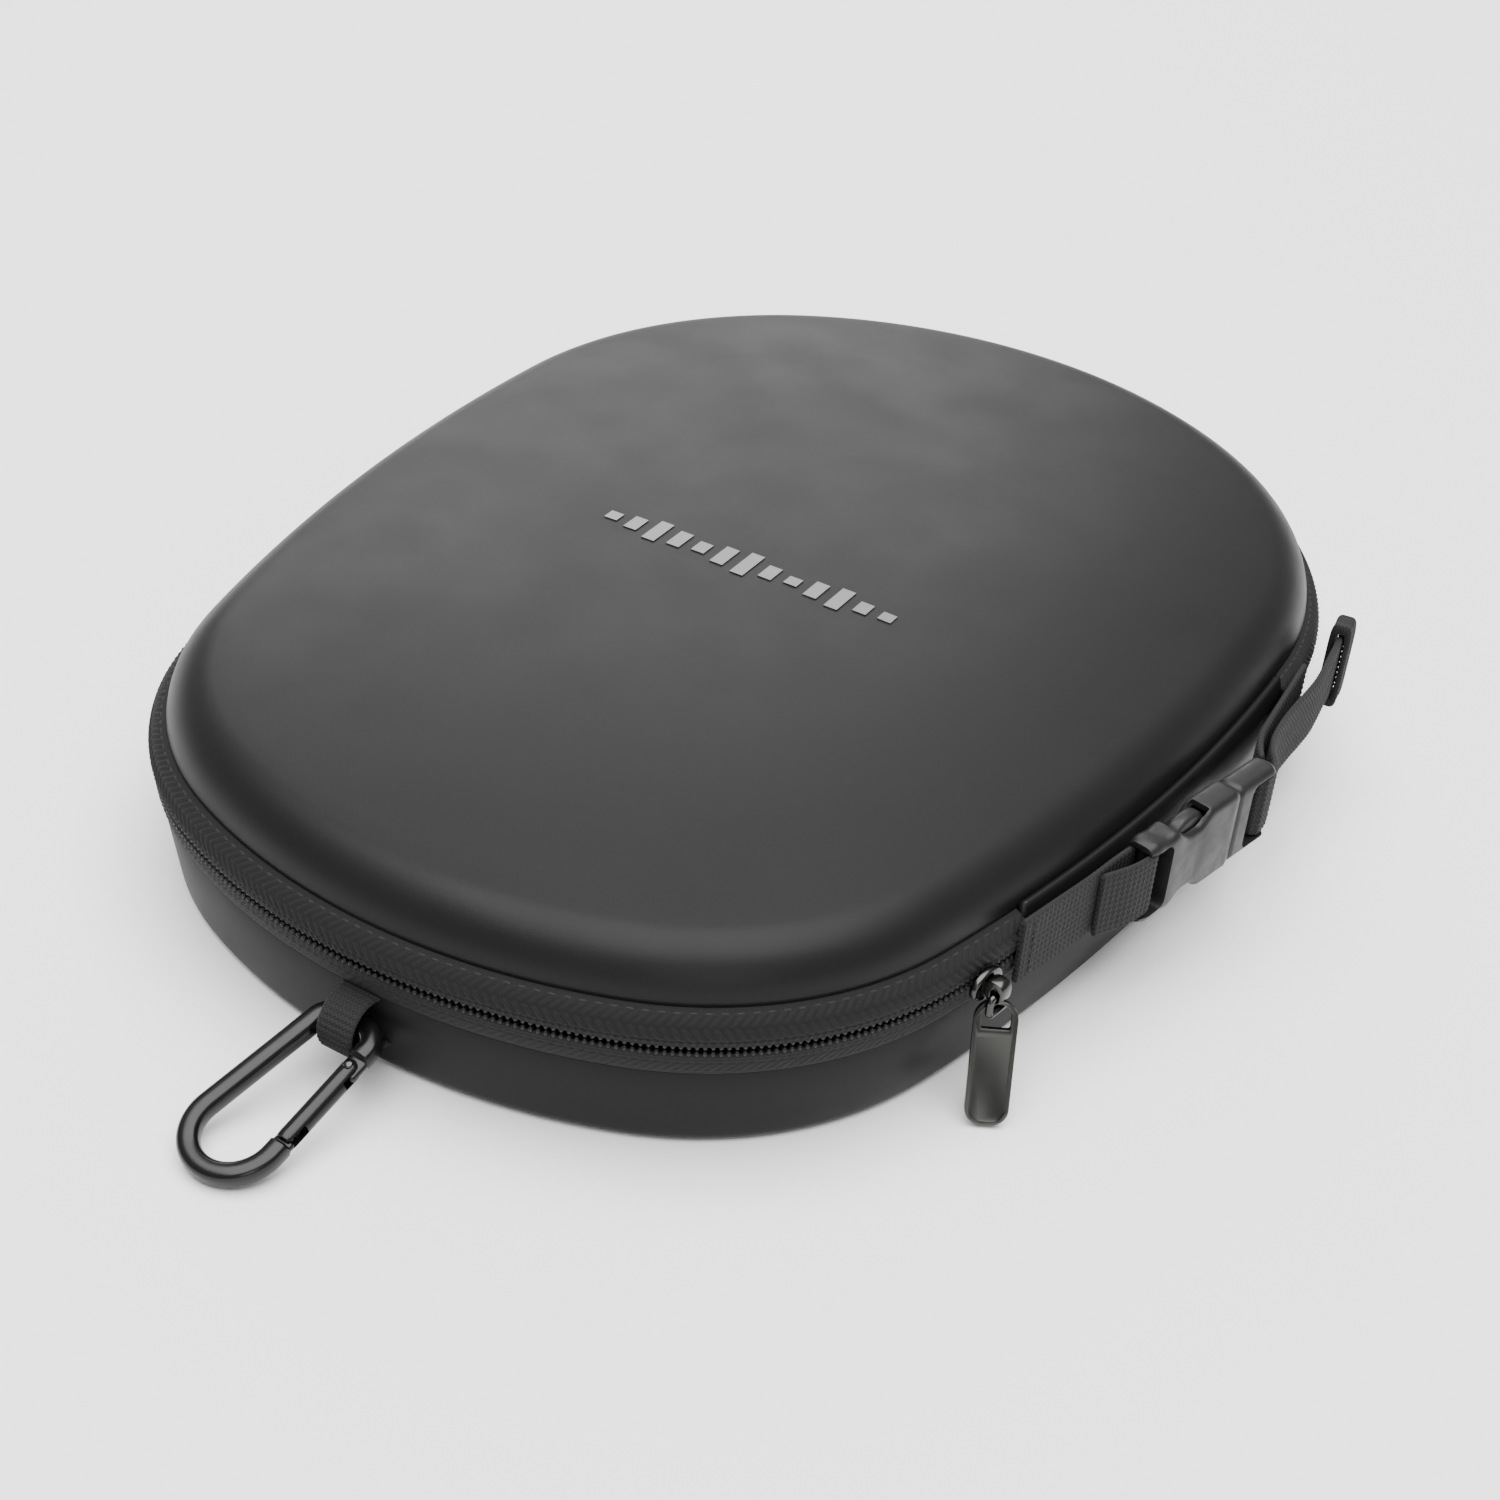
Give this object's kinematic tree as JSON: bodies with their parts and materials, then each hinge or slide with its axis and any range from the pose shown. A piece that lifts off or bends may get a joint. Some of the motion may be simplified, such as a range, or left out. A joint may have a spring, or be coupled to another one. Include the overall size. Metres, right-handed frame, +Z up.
{
  "type": "headphone carrying case",
  "caption": "Zipped clamshell headphone case of moulded foam with a side-release buckled strap, zip slider with a pull tab, and a carabiner on a webbing loop.",
  "frame": {"origin": "on the resting face, under the middle of the case's outline", "axes": "+X towards the hinge side with the buckled strap, -Y towards the front end with the carabiner, +Z up"},
  "size_m": [0.2115, 0.3073, 0.0459],
  "materials": {
    "skin": "black polyurethane skin with a soft sheen",
    "foam": "moulded closed-cell foam",
    "lining": "brushed knit lining",
    "tape": "woven polyester tape",
    "mesh": "elastic mesh",
    "webbing": "woven nylon webbing",
    "nylon": "black nylon filament",
    "plastic": "satin acetal",
    "anodised": "black anodised aluminium, satin",
    "gunmetal": "gunmetal plated",
    "foil": "silver foil"
  },
  "bodies": {
    "base": {"base_skin": "skin", "base_core": "foam", "base_lining": "lining", "base_binding": "tape", "zip_tape_lower": "tape", "zip_coil_lower": "nylon", "zip_stops": "nylon", "hinge_spine": "skin", "carabiner_loop": "webbing", "front_strap": "webbing", "rear_strap": "webbing", "buckle_socket": "plastic"},
    "lid": {"lid_skin": "skin", "lid_core": "foam", "lid_lining": "lining", "lid_binding": "tape", "zip_tape_upper": "tape", "zip_coil_upper": "nylon", "mesh_pocket": "mesh", "pocket_elastic": "tape", "lid_mark": "foil"},
    "slider": {"zip_slider": "gunmetal"},
    "link": {"slider_link": "gunmetal"},
    "tab": {"pull_tab": "gunmetal"},
    "carabiner": {"carabiner_body": "anodised", "gate_rivet": "gunmetal"},
    "gate": {"carabiner_gate": "anodised", "gate_nose_pin": "gunmetal"},
    "plug": {"buckle_plug": "plastic", "strap_tail": "webbing"},
    "upper_prong": {"prong_upper": "plastic"},
    "lower_prong": {"prong_lower": "plastic"},
    "keeper": {"strap_keeper": "webbing"}
  },
  "joints": [
    {"name": "lid_hinge", "type": "hinge", "parent": "base", "child": "lid", "pos_m": [0.1005, 0, 0.0335], "axis": [0, 1, 0], "range_deg": [0, 105]},
    {"name": "slider_travel", "type": "hinge", "parent": "base", "child": "slider", "pos_m": [0.0209, -0.06281, 0.0245], "axis": [0, 0, 1], "range_deg": [-50, 0]},
    {"name": "link_swing", "type": "hinge", "parent": "slider", "child": "link", "pos_m": [0.09271, -0.07483, 0.0239], "axis": [0.165, 0.9863, 0], "range_deg": [-20, 0]},
    {"name": "tab_swing", "type": "hinge", "parent": "link", "child": "tab", "pos_m": [0.09271, -0.07483, 0.0203], "axis": [0.8746, 0.4848, 0], "range_deg": [0, 20]},
    {"name": "carabiner_swing", "type": "hinge", "parent": "base", "child": "carabiner", "pos_m": [-0.0005, -0.1356, 0.0125], "axis": [1, 0, 0], "range_deg": [-80, 0]},
    {"name": "gate_open", "type": "hinge", "parent": "carabiner", "child": "gate", "pos_m": [0.00519, -0.14381, 0.01008], "axis": [0, 0.2823, -0.9593], "range_deg": [0, 28], "stiffness_Nm_per_rad": 0.02},
    {"name": "plug_slide", "type": "slide", "parent": "base", "child": "plug", "axis": [0.2079, 0.9781, 0], "range_m": [0, 0.024], "deforming": ["prong_upper", "prong_lower", "rear_strap"]},
    {"name": "prong_upper_press", "type": "hinge", "parent": "plug", "child": "upper_prong", "pos_m": [0.10494, -0.00886, 0.0304], "axis": [0.9781, -0.2079, 0], "range_deg": [0, 6.5], "stiffness_Nm_per_rad": 0.05},
    {"name": "prong_lower_press", "type": "hinge", "parent": "plug", "child": "lower_prong", "pos_m": [0.10494, -0.00886, 0.0216], "axis": [-0.9781, 0.2079, 0], "range_deg": [0, 6.5], "stiffness_Nm_per_rad": 0.05},
    {"name": "keeper_slide", "type": "slide", "parent": "plug", "child": "keeper", "axis": [-0.1143, 0.9934, 0], "range_m": [-0.016, 0]}
  ]
}
